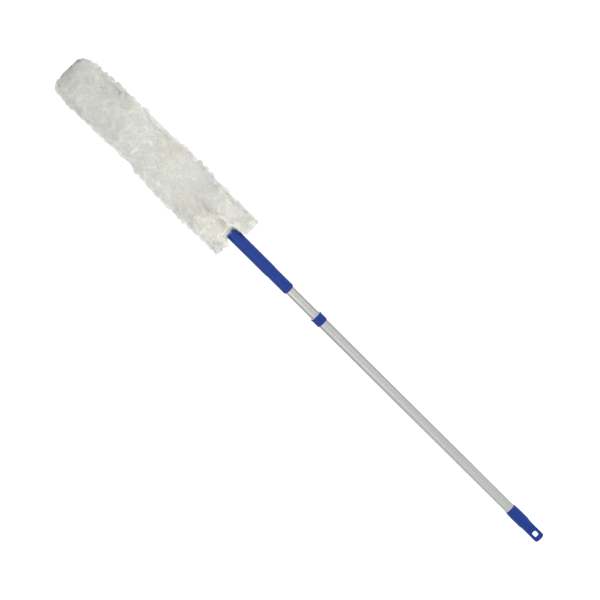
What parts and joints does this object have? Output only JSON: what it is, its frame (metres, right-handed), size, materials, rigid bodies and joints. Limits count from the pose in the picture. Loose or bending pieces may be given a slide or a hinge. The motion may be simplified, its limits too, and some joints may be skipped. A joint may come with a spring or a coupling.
{
  "type": "feather duster",
  "caption": "Telescopic high-reach duster: a twist-lock aluminium pole with a hang-hole end cap, and a flat flexible head in a fluffy white pile sleeve.",
  "frame": {"origin": "on the pole's axis, 250 mm above the bottom of the end cap, where a hand or a cart's spring clip holds the outer tube", "axes": "+Z along the pole towards the head; the head's broad faces look along -Y and +Y; X runs across the head's width"},
  "size_m": [0.1278, 0.046, 1.5129],
  "materials": {
    "blue_plastic": "moulded polypropylene, deep blue, fine matt texture",
    "aluminium": "satin extruded, clear anodised",
    "white_plastic": "plain white, low friction",
    "grey_plastic": "moulded, grey",
    "steel": "zinc plated",
    "pile": "short lumpy synthetic wool pile, off-white",
    "elastic": "woven elastic, off-white"
  },
  "bodies": {
    "outer_pole": {"outer_tube": "aluminium", "end_cap": "blue_plastic", "guide_collar": "blue_plastic", "guide_bush": "white_plastic"},
    "expander": {"expander_sleeve": "grey_plastic"},
    "cone_nut": {"cone_nut": "grey_plastic"},
    "inner_pole": {"inner_tube": "aluminium", "lock_plug": "grey_plastic", "plug_rivet_left": "aluminium", "plug_rivet_right": "aluminium", "lock_spindle": "steel", "spindle_washer": "steel", "stop_nut": "steel", "pole_tip": "blue_plastic", "thread_socket": "grey_plastic", "duster_handle": "blue_plastic", "neck_screw_left": "steel", "neck_screw_right": "steel", "mouth_elastic": "elastic", "blade_root": "grey_plastic", "core_strip_root": "aluminium", "strip_rivet_root": "steel", "sleeve_mouth": "pile"},
    "head_1": {"blade_section_1": "grey_plastic", "core_strip_1": "aluminium", "sleeve_section_1": "pile"},
    "head_2": {"blade_section_2": "grey_plastic", "core_strip_2": "aluminium", "sleeve_section_2": "pile"},
    "head_3": {"blade_section_3": "grey_plastic", "core_strip_3": "aluminium", "sleeve_section_3": "pile"},
    "head_4": {"blade_section_4": "grey_plastic", "core_strip_4": "aluminium", "sleeve_section_4": "pile"},
    "head_5": {"blade_section_5": "grey_plastic", "core_strip_5": "aluminium", "strip_rivet_tip": "steel", "sleeve_section_5": "pile"}
  },
  "joints": [
    {"name": "pole_extend", "type": "slide", "parent": "outer_pole", "child": "expander", "axis": [0, 0, 1], "range_m": [-0.082, 0.37]},
    {"name": "twist_lock", "type": "hinge", "parent": "expander", "child": "inner_pole", "pos_m": [0, 0, -0.03], "axis": [0, 0, 1], "range_deg": [0, 270]},
    {"name": "nut_travel", "type": "slide", "parent": "expander", "child": "cone_nut", "axis": [0, 0, 1], "range_m": [-0.0024, 0]},
    {"name": "flex_1", "type": "hinge", "parent": "inner_pole", "child": "head_1", "pos_m": [0, 0, 0.84], "axis": [1, 0, 0], "range_deg": [-18, 18]},
    {"name": "flex_2", "type": "hinge", "parent": "head_1", "child": "head_2", "pos_m": [0, 0, 0.915], "axis": [1, 0, 0], "range_deg": [-18, 18]},
    {"name": "flex_3", "type": "hinge", "parent": "head_2", "child": "head_3", "pos_m": [0, 0, 0.99], "axis": [1, 0, 0], "range_deg": [-18, 18]},
    {"name": "flex_4", "type": "hinge", "parent": "head_3", "child": "head_4", "pos_m": [0, 0, 1.065], "axis": [1, 0, 0], "range_deg": [-18, 18]},
    {"name": "flex_5", "type": "hinge", "parent": "head_4", "child": "head_5", "pos_m": [0, 0, 1.14], "axis": [1, 0, 0], "range_deg": [-18, 18]}
  ],
  "couplings": [
    {"joint": "nut_travel", "follows": "twist_lock", "m_per_rad": -0.00047746},
    {"joint": "flex_2", "follows": "flex_1", "ratio": 1},
    {"joint": "flex_3", "follows": "flex_1", "ratio": 1},
    {"joint": "flex_4", "follows": "flex_1", "ratio": 1},
    {"joint": "flex_5", "follows": "flex_1", "ratio": 1}
  ]
}
